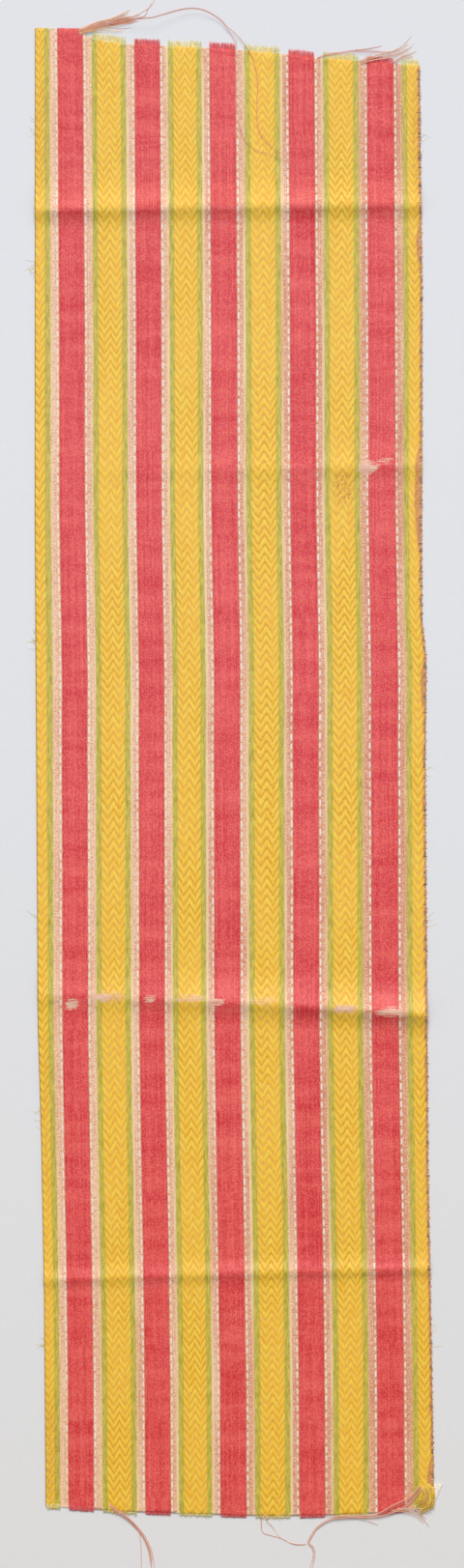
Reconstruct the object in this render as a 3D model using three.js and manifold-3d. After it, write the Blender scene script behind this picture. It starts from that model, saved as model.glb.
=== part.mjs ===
// A cut length of striped, warp-faced cloth lying flat on a table.
// Old fold lines stand up as low ridges, and both cut ends have frayed: short locks of coloured
// warp stand past the last pick, and pulled weft threads lie loose around the ends.
// Millimetres, +X across the stripes, +Y along them, +Z up.
import * as THREE from "three";
import { mergeVertices } from "three/addons/utils/BufferGeometryUtils.js";
import Module from "manifold-3d";

const wasm = await Module();
wasm.setup();

// Driving dimensions
const HALF_WIDTH = 100;
const THICKNESS = 1;
const COLUMNS = 12; // steps across the sheet
const STRIP_STEPS = 40; // steps across the woven strip at each cut end
const PARTING = 0.3; // gap between the sheet and each strip, and under a loose thread that crosses it
const THREAD = 0.6; // side of a loose thread's square section
const THREAD_STEP = 4;
const THREAD_TAPER = 0.3;
const THREAD_SLOPE = 8; // how far past the edge a thread comes down from the cloth to the table
const THREAD_ROOT = 2.5; // length in which a thread climbs out of its strip

// Outline of the weave: the last pick of each end as [x, y], each selvage as [y, x].
const TOP_EDGE = [[-100, 386], [-76, 385.5], [-72, 381], [-52, 377.5], [0, 374.5], [45, 369.8], [100, 365]];
const BOTTOM_EDGE = [[-100, -377.5], [-60, -381], [20, -383.8], [70, -381.5], [100, -378]];
const LEFT_EDGE = [[-380, -99.6], [-270, -99.6], [-190, -100.5], [-130, -101.8], [130, -101.5], [386, -99.5]];
const RIGHT_EDGE = [[-380, 101.2], [-200, 99.4], [0, 99.4], [58, 100.3], [80, 98.2], [250, 99.6], [386, 99]];

// Where each end's strip, fused to its frayed ends, is parted from the sheet, as [x, y].
const TOP_SEAM = [[-100, 379], [0, 369], [100, 359.8]];
const BOTTOM_SEAM = [[-100, -372.5], [0, -378], [100, -373]];

// Old folds. left, middle and right are the crest's y at the selvages and between them, and above
// and below are how far its slopes run towards the top and the bottom of the cloth.
const FOLDS = [
  { left: 291.3, middle: 292.4, right: 292.7, heightLeft: 2.6, heightRight: 2.6, above: 30, below: 13 },
  { left: 156, middle: 157, right: 157.5, heightLeft: 0, heightRight: 1.2, above: 14, below: 12 },
  { left: -114.7, middle: -119, right: -125.8, heightLeft: 1.2, heightRight: 3.6, above: 20, below: 16 },
  { left: -261.7, middle: -259, right: -257.3, heightLeft: 1.2, heightRight: 1.8, above: 12, below: 10 },
];
const SLOPE_STEPS = [1, 0.55, 0.25, 0.08]; // shares of a slope's run at which the sheet is bent
const PLAIN_ROWS = [-340, -190, -40, 30, 58, 80, 220, 350]; // y of the rows between the folds

// Warp bands that fray into locks: their edges from the left selvage, and their locks.
const STRIPE_REPEAT = 40;
const LEFT_BAND = { from: 0.6, to: 7, locks: 4 };
const RED_BAND = { from: 11.5, to: 24, locks: 6, count: 5 };
const YELLOW_BAND = { from: 28.5, to: 46.5, locks: 9, count: 4 };
const RIGHT_BAND = { from: 190.5, to: 197.5, locks: 4 };
const LOCK_GAP = 0.4;
const LOCK_SUNK = 1.2; // length of a lock inside its strip
const LOCK_HEIGHT = { root: 0.85, tip: 0.5 };
const LOCK_TIP_SHARE = 0.55; // tip width over root width
const LOCK_LENGTH_SPREAD = 0.25;
const LOCK_LEAN = 0.5;

// Loose threads, each row one thread, or a bundle of several, that leaves its strip at the first
// [x, y] of its route. spacing is between neighbours at the root and at the tip, and shortest is
// the share of the route that the last thread of the bundle covers.
const TOP_THREADS = [
  {
    threads: 2,
    spacing: [0.95, 1.4],
    shortest: 0.85,
    route: [[-77.4, 384.2], [-70.5, 386.9], [-62.6, 389.2], [-56, 391.2], [-47, 394.8]],
  },
  { route: [[-77.2, 383.4], [-69.5, 385], [-61.6, 387.2], [-51, 390.6], [-44, 394.5], [-37, 404.8]] },
  {
    route: [
      [-77, 382.7], [-68.5, 383.7], [-59.6, 385.9], [-45, 389.6], [-35, 392.3],
      [-22.5, 395.4], [-13.5, 395.3], [-5, 391], [0.4, 386], [7.3, 379],
      [12.3, 371], [15.2, 360], [15, 336], [18, 328], [30.4, 318.3],
    ],
  },
  {
    route: [
      [-77, 382], [-67.8, 382.4], [-58.6, 384.7], [-44.6, 388.2], [-34.6, 390.9],
      [-22.5, 394], [-14, 394], [-6.6, 390], [-1, 385], [3.8, 378],
      [5, 370], [4.8, 342], [8.9, 326.5], [22.9, 319.3], [37.3, 311.7],
    ],
  },
  { route: [[45.3, 368], [48.8, 371], [65.8, 374], [78.8, 375.4]] },
  {
    threads: 3,
    spacing: [0.95, 1.5],
    shortest: 0.9,
    route: [[72.7, 364.5], [77.3, 369], [84.3, 371.4], [96.6, 377.8]],
  },
  { route: [[84.7, 362.6], [88.3, 368.4], [98.3, 374.8]] },
];
const BOTTOM_THREADS = [
  {
    threads: 3,
    spacing: [0.95, 2.6],
    shortest: 0.9,
    route: [[-67.3, -378], [-61.4, -382.6], [-52, -391.6], [-48.5, -396.7], [-46, -402.7], [-45, -416.7]],
  },
  { route: [[11.1, -380.6], [11.6, -387.6], [14.5, -394.6], [21.5, -397.2], [34, -401.3]] },
  { route: [[14.1, -380.6], [16.6, -388], [20.3, -393.7], [33, -398.5]] },
  {
    threads: 3,
    spacing: [1, 1.3],
    shortest: 0.55,
    route: [
      [91.7, -375.4], [86.7, -378.7], [72, -383.8], [61.6, -385.7], [45.6, -387.6],
      [41, -391.3], [35.8, -398.4], [38.6, -403.4], [37, -417.3],
    ],
  },
  { threads: 3, spacing: [0.95, 2.6], shortest: 0.8, route: [[94, -376], [95, -381.5], [99.6, -389]] },
  { threads: 2, spacing: [0.95, 1.6], shortest: 0.8, route: [[97.8, -375.6], [101, -374], [105.2, -368.8]] },
];

const COLOURS = { cloth: 0xdd8464, topFringe: 0xd9a05c, bottomFringe: 0xd08f6a };
const ROUGHNESS = { cloth: 0.7, frayed: 0.8 };
const UNEVEN_WAVES = [12.9898, 4.1414]; // two unrelated frequencies

const lerp = THREE.MathUtils.lerp;

// Value of a two-column table at a place between its rows, held level past its ends.
function valueAt(table, place) {
  const next = table.findIndex(([key]) => key >= place);
  if (next === 0) return table[0][1];
  if (next < 0) return table.at(-1)[1];
  const [from, start] = table[next - 1];
  const [to, end] = table[next];
  return lerp(start, end, (place - from) / (to - from));
}

// Place across the cloth, from 0 to 1, as an x on its nominal width.
function nominalX(across) {
  return lerp(-HALF_WIDTH, HALF_WIDTH, across);
}

// Repeatable unevenness between -1 and 1.
function unevenness(index) {
  return Math.sin(index * UNEVEN_WAVES[0]) * Math.cos(index * UNEVEN_WAVES[1]);
}

function crestY(fold, x) {
  const share = x / HALF_WIDTH;
  const bow = (fold.left + fold.right) / 2 - fold.middle;
  return fold.middle + ((fold.right - fold.left) / 2) * share + bow * share * share;
}

function foldHeight(x, y) {
  const across = THREE.MathUtils.clamp((x / HALF_WIDTH + 1) / 2, 0, 1);
  let height = 0;
  for (const fold of FOLDS) {
    const offset = y - crestY(fold, x);
    const run = offset > 0 ? fold.above : fold.below;
    const nearness = Math.max(0, 1 - Math.abs(offset) / run);
    height += lerp(fold.heightLeft, fold.heightRight, across) * nearness * nearness;
  }
  return height;
}

// How far a point lies past the outline of the weave, negative inside it.
function outside(x, y) {
  return Math.max(
    y - valueAt(TOP_EDGE, x),
    valueAt(BOTTOM_EDGE, x) - y,
    x - valueAt(RIGHT_EDGE, y),
    valueAt(LEFT_EDGE, y) - x,
  );
}

// Lowest point of a loose thread that lies across the cloth and down to the table.
function threadRest(x, y) {
  const onCloth = THREE.MathUtils.clamp(1 - outside(x, y) / THREAD_SLOPE, 0, 1);
  return onCloth * (THICKNESS + PARTING + foldHeight(x, y));
}

// A box of columns by rows whose points go where place(across, along, up) puts them, each from 0 to 1.
function bentBox(columns, rows, place) {
  const geometry = new THREE.BoxGeometry(1, 1, 1, columns, rows, 1);
  geometry.deleteAttribute("normal");
  geometry.deleteAttribute("uv");
  const points = geometry.attributes.position;
  for (let i = 0; i < points.count; i += 1) {
    points.setXYZ(i, ...place(points.getX(i) + 0.5, points.getY(i) + 0.5, points.getZ(i) + 0.5));
  }
  return mergeVertices(geometry);
}

function fused(geometries) {
  const solids = geometries.map((geometry) => new wasm.Manifold(new wasm.Mesh({
    numProp: 3,
    vertProperties: geometry.attributes.position.array,
    triVerts: new Uint32Array(geometry.index.array),
  })));
  const { vertProperties, triVerts } = solids.reduce((whole, solid) => whole.add(solid)).getMesh();
  const geometry = new THREE.BufferGeometry();
  geometry.setAttribute("position", new THREE.BufferAttribute(vertProperties, 3));
  geometry.setIndex(new THREE.BufferAttribute(triVerts, 1));
  return geometry;
}

// The sheet between the two end strips. Its rows follow the crests, so each ridge stays sharp.
function sheetGeometry() {
  const ridgeRows = FOLDS.flatMap((fold) => [
    ...SLOPE_STEPS.map((step) => (x) => crestY(fold, x) + step * fold.above),
    (x) => crestY(fold, x),
    ...SLOPE_STEPS.map((step) => (x) => crestY(fold, x) - step * fold.below),
  ]);
  const innerRows = [...ridgeRows, ...PLAIN_ROWS.map((y) => () => y)].sort((a, b) => a(0) - b(0));
  const rows = [
    (x) => valueAt(BOTTOM_SEAM, x) + PARTING,
    ...innerRows,
    (x) => valueAt(TOP_SEAM, x) - PARTING,
  ];
  const lastRow = rows.length - 1;
  return bentBox(COLUMNS, lastRow, (across, along, up) => {
    const y = rows[Math.round(along * lastRow)](nominalX(across));
    const x = lerp(valueAt(LEFT_EDGE, y), valueAt(RIGHT_EDGE, y), across);
    return [x, y, foldHeight(x, y) + up * THICKNESS];
  });
}

function stripGeometry(edge, seam, outward) {
  const first = valueAt(LEFT_EDGE, edge[0][1]);
  const last = valueAt(RIGHT_EDGE, edge.at(-1)[1]);
  return bentBox(STRIP_STEPS, 1, (across, along, up) => {
    const x = lerp(first, last, across);
    const toEdge = outward > 0 ? along : 1 - along;
    return [x, lerp(valueAt(seam, nominalX(across)), valueAt(edge, x), toEdge), up * THICKNESS];
  });
}

function warpBands() {
  const repeated = (band) => Array.from({ length: band.count }, (_, i) => ({
    from: band.from + i * STRIPE_REPEAT,
    to: band.to + i * STRIPE_REPEAT,
    locks: band.locks,
  }));
  return [LEFT_BAND, ...repeated(RED_BAND), ...repeated(YELLOW_BAND), RIGHT_BAND];
}

// One lock of frayed warp, flat underneath and thinning to its tip.
function lockGeometry(x, width, edge, outward, length, lean) {
  const root = valueAt(edge, x) - outward * LOCK_SUNK;
  return bentBox(1, 1, (across, along, up) => {
    const wide = width * lerp(1, LOCK_TIP_SHARE, along);
    const high = lerp(LOCK_HEIGHT.root, LOCK_HEIGHT.tip, along);
    return [
      x + outward * (across - 0.5) * wide + along * lean,
      root + outward * along * (LOCK_SUNK + length),
      up * high,
    ];
  });
}

function locks(edge, outward, length) {
  const selvage = valueAt(LEFT_EDGE, edge[0][1]);
  return warpBands().flatMap((band) => {
    const pitch = (band.to - band.from) / band.locks;
    return Array.from({ length: band.locks }, (_, i) => {
      const x = selvage + band.from + (i + 0.5) * pitch;
      const long = length * (1 + LOCK_LENGTH_SPREAD * unevenness(x));
      return lockGeometry(x, pitch - LOCK_GAP, edge, outward, long, LOCK_LEAN * unevenness(x + 1));
    });
  });
}

// One loose thread beside its bundle's route, square in section and level underneath.
function threadGeometry(line, spacing, place, reach) {
  const length = line.getLength() * reach;
  return bentBox(1, Math.ceil(length / THREAD_STEP), (across, along, up) => {
    const share = along * reach;
    const point = line.getPointAt(share);
    const heading = line.getTangentAt(share);
    const thick = THREAD * (1 - THREAD_TAPER * along);
    const side = place * lerp(spacing[0], spacing[1], share) + (across - 0.5) * thick;
    const risen = Math.min(1, (along * length) / THREAD_ROOT);
    const low = lerp((THICKNESS - THREAD) / 2, threadRest(point.x, point.y), risen);
    return [point.x + heading.y * side, point.y - heading.x * side, low + up * thick];
  });
}

function looseThreads(bundles) {
  return bundles.flatMap(({ threads = 1, spacing = [0, 0], shortest = 1, route }) => {
    const points = route.map(([x, y]) => new THREE.Vector3(x, y, 0));
    const line = new THREE.CatmullRomCurve3(points, false, "centripetal");
    return Array.from({ length: threads }, (_, i) => {
      const reach = threads > 1 ? lerp(1, shortest, i / (threads - 1)) : 1;
      return threadGeometry(line, spacing, i - (threads - 1) / 2, reach);
    });
  });
}

function fringeGeometry({ edge, seam, outward, lockLength, bundles }) {
  return fused([
    stripGeometry(edge, seam, outward),
    ...locks(edge, outward, lockLength),
    ...looseThreads(bundles),
  ]);
}

function piece(name, geometry, color, roughness) {
  geometry.computeVertexNormals();
  const mesh = new THREE.Mesh(geometry, new THREE.MeshStandardMaterial({ color, roughness, metalness: 0 }));
  mesh.name = name;
  return mesh;
}

const topEnd = {
  edge: TOP_EDGE,
  seam: TOP_SEAM,
  outward: 1,
  lockLength: 3,
  bundles: TOP_THREADS,
};
const bottomEnd = {
  edge: BOTTOM_EDGE,
  seam: BOTTOM_SEAM,
  outward: -1,
  lockLength: 1.8,
  bundles: BOTTOM_THREADS,
};

const laidOut = new THREE.Group();
laidOut.add(
  piece("cloth", sheetGeometry(), COLOURS.cloth, ROUGHNESS.cloth),
  piece("top_fringe", fringeGeometry(topEnd), COLOURS.topFringe, ROUGHNESS.frayed),
  piece("bottom_fringe", fringeGeometry(bottomEnd), COLOURS.bottomFringe, ROUGHNESS.frayed),
);

// The origin is under the middle of the cloth's box, on the table.
const box = new THREE.Box3().setFromObject(laidOut);
const middle = box.getCenter(new THREE.Vector3());
laidOut.position.set(-middle.x, -middle.y, -box.min.z);

const stripedCloth = new THREE.Group();
stripedCloth.add(laidOut);

export default stripedCloth;
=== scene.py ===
import math

import bpy
import numpy as np
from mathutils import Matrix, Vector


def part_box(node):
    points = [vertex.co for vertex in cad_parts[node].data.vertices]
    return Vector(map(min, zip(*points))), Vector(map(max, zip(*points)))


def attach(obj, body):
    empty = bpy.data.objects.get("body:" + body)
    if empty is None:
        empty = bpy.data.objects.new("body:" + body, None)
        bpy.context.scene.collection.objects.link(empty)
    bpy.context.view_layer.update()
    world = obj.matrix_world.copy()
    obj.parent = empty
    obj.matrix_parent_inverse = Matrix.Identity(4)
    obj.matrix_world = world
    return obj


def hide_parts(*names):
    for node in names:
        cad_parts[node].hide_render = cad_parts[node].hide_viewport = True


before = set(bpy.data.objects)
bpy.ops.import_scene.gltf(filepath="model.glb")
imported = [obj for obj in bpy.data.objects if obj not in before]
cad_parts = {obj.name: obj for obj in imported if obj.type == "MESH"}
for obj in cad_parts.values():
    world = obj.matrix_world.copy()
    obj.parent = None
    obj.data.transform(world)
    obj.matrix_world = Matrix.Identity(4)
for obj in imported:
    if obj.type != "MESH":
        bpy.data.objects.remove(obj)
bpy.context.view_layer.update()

rng = np.random.default_rng(41)

# A cut length of striped, warp-faced cloth lying flat, seen from straight above.
# Sizes are millimetres in the cloth's own coordinates: x across the stripes, y along them.
# metres() moves them to the frame of the solids.
MM = 0.001
HALF_WIDTH = 100

# Outline of the weave: the last pick of each end as [x, y], each selvage as [y, x].
TOP_EDGE = [[-100, 386], [-76, 385.5], [-72, 381], [-52, 377.5], [0, 374.5], [45, 369.8], [100, 365]]
BOTTOM_EDGE = [[-100, -378.5], [-60, -381.6], [20, -384.6], [54, -384], [75, -383.2], [100, -379.8]]
LEFT_EDGE = [[-380, -99.6], [-270, -99.6], [-190, -100.5], [-130, -101.8], [130, -101.5], [386, -99.5]]
RIGHT_EDGE = [[-380, 101.2], [-200, 99.4], [0, 99.4], [58, 100.3], [80, 98.2], [250, 99.6], [386, 99]]
# Two places on the cloth's solid, by which the cloth is set in the frame.
LOWEST_X = -101.79
SHEET_TOP = 378.7  # top left corner, under the end strip

# Old folds: the crest's y at the left, in the middle and at the right, its height at the left and
# right, and how far its slopes run above and below.
FOLDS = [
    [291.3, 292.4, 292.7, 3.1, 2.9, 20, 10],
    [156, 157, 157.5, 0, 1.6, 14, 10],
    [-114.7, -119, -125.8, 1.4, 4.8, 20, 12.5],
    [-261.7, -259, -257.3, 1.5, 1.9, 10, 6],
]
FOLD_POWER = 2.4  # a crest is steepest near its top
CREST_ROUND = 0.8

# Stripes. A place across the cloth is counted in even repeats: red stripes have their middles at
# 0, 40, 80, 120 and 160, and every other stripe lies the same way on both sides of a red one.
REPEAT = 40
RED_COUNT = 5
RED_HALF = 6.5
DASH = 7.35  # middle of the row of white floats beside each red stripe
DASH_HALF = 0.4
PEACH_END = 11.1
GREEN_END = 13.9
CHEVRON_FOOT = 16.95
YELLOW_MIDDLE = 20
FIRST_PLACE = -18.9
LAST_PLACE = 180.8
# Where the red stripes' edges really lie, as x at mid length.
RED_EDGES = [-88.25, -75.25, -48.5, -35.55, -9.63, 3.6, 31.2, 44.25, 71.7, 85.25]
# How far all stripes sway to the right, as [y, x].
SWAY = [
    [-372, 0.55], [-312, 0.7], [-252, 0.35], [-192, -0.3], [-132, -0.75], [-43, -0.25],
    [17, 0], [47, 0.35], [77, 0.15], [137, -0.4], [230, 0.15], [347, 0.3],
]
# Height of one weave repeat along the cloth, beaten unevenly, as [y, height].
BEAT = [
    [-400, 4.5], [-285, 4.3], [-245, 4.3], [-205, 4.9], [-165, 4.6], [-85, 4.6], [-45, 5.1], [-5, 5],
    [35, 4.6], [115, 4.6], [155, 5], [195, 4.6], [235, 4.3], [275, 4.8], [315, 4.2], [400, 4.3],
]
CHEVRON_RISE = 5.2

# The sheet
UNDERSIDE = 0.03
TOP_SIDE = 0.72
# Places of the mesh's columns in half a repeat, and of its rows in one weave repeat.
COLUMN_STEPS = [
    0, 3.05, 6.1, RED_HALF, 6.9, DASH, 7.8, 8.2, PEACH_END, 12.5,
    GREEN_END, 14.9, 15.9, CHEVRON_FOOT, 17.95, 18.95,
]
ROW_STEPS = [0, 0.2, 0.6]
BACK_EVERY = 9  # rows of the front to one of the back
BACK_EVERY_FOLD = 2  # the same along a fold
END_COLUMN_GAP = 0.4  # least gap between a selvage and the next column
LOWEST_ROW = -385 - 2 * CHEVRON_RISE
HIGHEST_ROW = 388
# Crowns and grooves of the stripes, as [place from the middle of a red stripe, height].
STRIPE_LEVELS = [
    [0, 0.12], [3.3, 0.12], [6.1, 0.06], [RED_HALF, -0.12], [6.9, -0.1], [8.2, -0.1], [PEACH_END, -0.1],
    [12.5, 0.1], [GREEN_END, 0], [CHEVRON_FOOT, -0.05], [YELLOW_MIDDLE, 0],
]
CHEVRON_HEIGHT = 0.3
CHEVRON_START = [[GREEN_END - 0.7, 0], [GREEN_END + 0.3, 1]]
DASH_HEIGHT = 0.2
DASH_PROFILE = [[0.02, 0], [0.15, 1], [0.5, 1], [0.65, 0]]  # share of a weave repeat, share of the height
CUT_RELIEF = 0.3  # share of the relief that is left on a cut end
SAG_HEIGHT = 0.09
RIPPLE_HEIGHT = 0.05

# Worn places where the weft shows, as [x, y, half width, half height, strength].
WORN = [
    [-84, -119, 2, 3.6, 1], [-66, -115.5, 10, 2.6, 0.65], [-44, -116.5, 2, 3, 0.75],
    [-24, -116.5, 9, 2, 0.55], [-10, -118.5, 4, 2.2, 0.85], [14, -118, 8, 2.4, 0.45],
    [57, -122.5, 7, 2.2, 0.75], [80, -124.5, 8, 2.2, 0.8], [71, 157.5, 5, 3.6, 0.75],
    [80.5, 160.8, 5.5, 1.1, 0.8], [-90, 370, 6, 1, 0.45], [88, 300, 3, 12, 0.3], [70, 349, 6, 8, 0.2],
]
WORN_FLATTER = 0.7  # share of the relief that wear takes away
WORN_SUNK = 0.12
# How wide the right selvage is worn to brown, as [y, width].
SELVAGE_WEAR = [
    [-380, 3], [-366, 3], [-354, 1.3], [30, 1.3], [45, 3], [60, 1.3], [110, 1.4], [125, 3.8],
    [158, 3.8], [170, 1.5], [262, 1.5], [272, 3.2], [284, 1.5], [386, 1.2],
]
# Places where the floats are broken or pulled about, the same way as the worn ones.
BROKEN = [
    [58, 147, 6, 8, 1], [-92.5, 173.5, 1.4, 2.6, 1], [-92, 68.5, 1.4, 2.6, 1], [-52, 347, 2, 2.5, 0.6],
    [-96.5, -352, 4, 28, 0.7], [-97, 330, 3, 30, 0.5], [-97, -180, 3, 40, 0.4], [97, 330, 2, 30, 0.6],
]
PATCH_REACH = 1.6  # how far a patch fades out, by the square of its half sizes


def column(table, index):
    return np.array([row[index] for row in table], dtype=float)


def value_at(table, place):
    """Value of a two-column table at a place between its rows."""
    return np.interp(place, column(table, 0), column(table, 1))


def cloth_shift():
    """How far the cloth's coordinates lie from the frame of the solids, in millimetres."""
    low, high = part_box("cloth")
    return np.array([low[0] / MM - LOWEST_X, high[1] / MM - SHEET_TOP, 0])


SHIFT = cloth_shift()


def metres(points):
    return (np.asarray(points, dtype=float) + SHIFT) * MM


# Colours

def linear(red, green, blue):
    """A display colour from 0 to 255 as the linear colour that the shader takes."""
    shares = np.array([red, green, blue]) / 255
    low = shares / 12.92
    high = ((shares + 0.055) / 1.055) ** 2.4
    return tuple(np.where(shares <= 0.04045, low, high)) + (1.0,)


RED_DARK = linear(212, 34, 40)
RED_PALE = linear(255, 116, 104)
# painted shadow: the thin dark line along each red stripe's edge
RED_EDGE_SHADOW = linear(182, 84, 84)
# YELLOW_DARK: painted shadow in the yellow stripes' grooves and specks, and the base of the worn right
# selvage's brown
YELLOW_DARK = linear(212, 148, 34)
YELLOW = linear(249, 182, 18)
YELLOW_PALE = linear(255, 217, 66)
YELLOW_LINE = linear(250, 182, 104)
GREEN_DARK = linear(168, 154, 34)
GREEN_PALE = linear(228, 206, 84)
PEACH_DARK = linear(214, 132, 98)
PEACH_PALE = linear(255, 216, 172)
CREAM = linear(250, 224, 172)
WHITE = linear(255, 236, 216)
WEFT = linear(228, 160, 130)
WEFT_PALE = linear(246, 208, 178)
SELVAGE = linear(116, 86, 58)
WORN_SELVAGE = linear(226, 150, 100)
NOTCH = linear(132, 84, 72)
BROKEN_YARN = linear(176, 108, 40)

# Loose silk
SALMON = linear(236, 158, 134)
SALMON_PALE = linear(255, 216, 186)
ROSE = linear(246, 160, 140)
TAN = linear(255, 200, 132)
RUST = linear(240, 160, 100)
STRAW = linear(255, 214, 70)
LIME = linear(214, 204, 64)
SILK_CREAM = linear(255, 250, 234)


# The weave's geometry

def stripe_place(places):
    """Distance of each place from the middle of the nearest red stripe."""
    return np.abs((places + REPEAT / 2) % REPEAT - REPEAT / 2)


def zigzag(places):
    """1 where a weave row stands highest and 0 at the foot of a chevron."""
    return np.interp(stripe_place(places), [GREEN_END, CHEVRON_FOOT, YELLOW_MIDDLE], [1, 0, 1])


def across(places, ys):
    """x of places across the cloth, counted in even repeats, at heights y."""
    middles = REPEAT * np.arange(RED_COUNT)
    knots = np.sort(np.concatenate([middles - RED_HALF, middles + RED_HALF]))
    first = RED_EDGES[0] + FIRST_PLACE - knots[0]
    last = RED_EDGES[-1] + LAST_PLACE - knots[-1]
    knots = [FIRST_PLACE, *knots, LAST_PLACE]
    sway = value_at(SWAY, ys)
    xs = np.interp(places, knots, [first, *RED_EDGES, last]) + sway
    to_left = np.clip((knots[1] - places) / (knots[1] - FIRST_PLACE), 0, 1)
    to_right = np.clip((places - knots[-2]) / (LAST_PLACE - knots[-2]), 0, 1)
    xs += to_left * (value_at(LEFT_EDGE, ys) - first - sway)
    xs += to_right * (value_at(RIGHT_EDGE, ys) - last - sway)
    return xs


# Weave repeats counted along the cloth, at close steps of y.
FINE_STEP = 0.25
FINE_Y = np.arange(-420, 420, FINE_STEP)
FINE_PHASE = np.cumsum(FINE_STEP / value_at(BEAT, FINE_Y))


def phase_at(places, ys):
    """Weave repeats counted along the cloth, following the chevrons."""
    return np.interp(ys - CHEVRON_RISE * zigzag(places), FINE_Y, FINE_PHASE)


def fold_height(xs, ys):
    """How high the folds lift the cloth."""
    height = np.zeros(np.broadcast(xs, ys).shape)
    share = np.clip(xs / HALF_WIDTH, -1, 1)
    for left, middle, right, height_left, height_right, above, below in FOLDS:
        crest = middle + (right - left) / 2 * share + ((left + right) / 2 - middle) * share**2
        offset = ys - crest
        run = np.where(offset > 0, above, below)
        away = np.hypot(offset, CREST_ROUND) - CREST_ROUND
        nearness = np.maximum(0, 1 - away / run)
        tall = height_left + (height_right - height_left) * (share + 1) / 2
        height += tall * nearness**FOLD_POWER
    return height


def patch_share(patches, xs, ys):
    """How far each point lies in a table's patches, from 0 to 1."""
    share = np.zeros(xs.shape)
    for x, y, half_width, half_height, strength in patches:
        away = ((xs - x) / half_width) ** 2 + ((ys - y) / half_height) ** 2
        share = np.maximum(share, strength * np.clip(PATCH_REACH - away, 0, 1))
    return share


def relief(places, phases, worn):
    """Height of the weave's surface over a plain sheet."""
    place = stripe_place(places)
    share = phases % 1
    ridge = 1 - np.abs(2 * share - 1) ** 3
    height = value_at(STRIPE_LEVELS, place)
    height += CHEVRON_HEIGHT * ridge * value_at(CHEVRON_START, place)
    bead = value_at(DASH_PROFILE, share)
    height += DASH_HEIGHT * bead * np.clip(1.5 - np.abs(place - DASH) / DASH_HALF, 0, 1)
    return height * (1 - WORN_FLATTER * worn) - WORN_SUNK * worn


def sag(xs, ys):
    """Low unevenness of cloth that has lain folded."""
    slow = np.sin(xs / 17 + ys / 61) * np.sin(ys / 47 + 1.3) + np.sin(xs / 43 - ys / 29 + 0.7)
    return SAG_HEIGHT * slow + RIPPLE_HEIGHT * np.sin(xs / 9.3 + 2) * np.sin(ys / 13.1)


class Weave:
    """Points of the cloth's grid: columns over places, rows over weave repeats."""

    def __init__(self, places, phases):
        self.places = np.tile(places, (len(phases), 1))
        rows = np.tile(np.array(phases)[:, None], (1, len(places)))
        uncut = np.interp(rows, FINE_PHASE, FINE_Y) + CHEVRON_RISE * zigzag(self.places)
        self.y = uncut
        for _ in range(4):  # x and the y of a cut end hang on each other
            self.x = across(self.places, self.y)
            top = value_at(TOP_EDGE, self.x)
            bottom = value_at(BOTTOM_EDGE, self.x)
            self.y = np.clip(uncut, bottom, top)
        self.cut = (uncut >= top) | (uncut <= bottom)
        self.phases = phase_at(self.places, self.y)
        self.worn = patch_share(WORN, self.x, self.y)

    def front(self):
        z = TOP_SIDE + fold_height(self.x, self.y) + sag(self.x, self.y)
        z += relief(self.places, self.phases, self.worn) * np.where(self.cut, CUT_RELIEF, 1)
        return np.stack([self.x, self.y, z], axis=-1)

    def back(self):
        z = UNDERSIDE + fold_height(self.x, self.y)
        return np.stack([self.x, self.y, z], axis=-1)

    def numbers(self, first):
        """Index of each grid point. Points past a cut end share the one on the cut."""
        count, wide = self.y.shape
        index = first + np.arange(count * wide).reshape(count, wide)
        inside = ~self.cut
        low = inside.argmax(axis=0) - 1
        high = count - inside[::-1].argmax(axis=0)
        rows = np.clip(np.arange(count)[:, None], low[None, :], high[None, :])
        return np.take_along_axis(index, rows, axis=0)


def without_repeats(face):
    kept = [point for i, point in enumerate(face) if point != face[i - 1]]
    return kept if len(kept) > 2 else None


def grid_faces(index, flipped):
    faces = []
    for lower, upper in zip(index[:-1], index[1:]):
        for i in range(len(lower) - 1):
            face = [lower[i], lower[i + 1], upper[i + 1], upper[i]]
            face = without_repeats(face[::-1] if flipped else face)
            if face:
                faces.append(face)
    return faces


def wall_faces(front_edge, back_edge, picks):
    """Faces from an edge of the front down to the back, whose points lie under the picked ones."""
    faces = []
    for i in range(len(back_edge) - 1):
        upper = front_edge[picks[i]:picks[i + 1] + 1]
        face = without_repeats([*upper, back_edge[i + 1], back_edge[i]])
        if face:
            faces.append(face)
    return faces


def mesh_object(name, points, faces, material):
    mesh = bpy.data.meshes.new(name)
    mesh.from_pydata(metres(points).tolist(), [], [[int(i) for i in face] for face in faces])
    mesh.polygons.foreach_set("use_smooth", [True] * len(mesh.polygons))
    mesh.materials.append(material)
    mesh.update()
    piece = bpy.data.objects.new(name, mesh)
    bpy.context.scene.collection.objects.link(piece)
    return piece


def point_layer(mesh, name, values):
    """Stores one colour for each point."""
    layer = mesh.attributes.new(name, "FLOAT_COLOR", "POINT")
    layer.data.foreach_set("color", np.asarray(values, dtype=np.float32).ravel())


def corner_layer(mesh, name, points):
    """Stores one flat place for each point, in a texture layer."""
    layer = mesh.uv_layers.new(name=name)
    corners = np.empty(len(mesh.loops), dtype=np.int64)
    mesh.loops.foreach_get("vertex_index", corners)
    layer.data.foreach_set("uv", np.asarray(points, dtype=np.float32)[corners].ravel())


def column_places():
    """Places of all columns, from one selvage to the other."""
    steps = np.array(COLUMN_STEPS)
    half = np.concatenate([steps, [YELLOW_MIDDLE], REPEAT - steps[:0:-1]])
    places = np.concatenate([half + REPEAT * i for i in range(-1, RED_COUNT)])
    inner = places[(places > FIRST_PLACE + END_COLUMN_GAP) & (places < LAST_PLACE - END_COLUMN_GAP)]
    return np.concatenate([[FIRST_PLACE], inner, [LAST_PLACE]])


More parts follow.
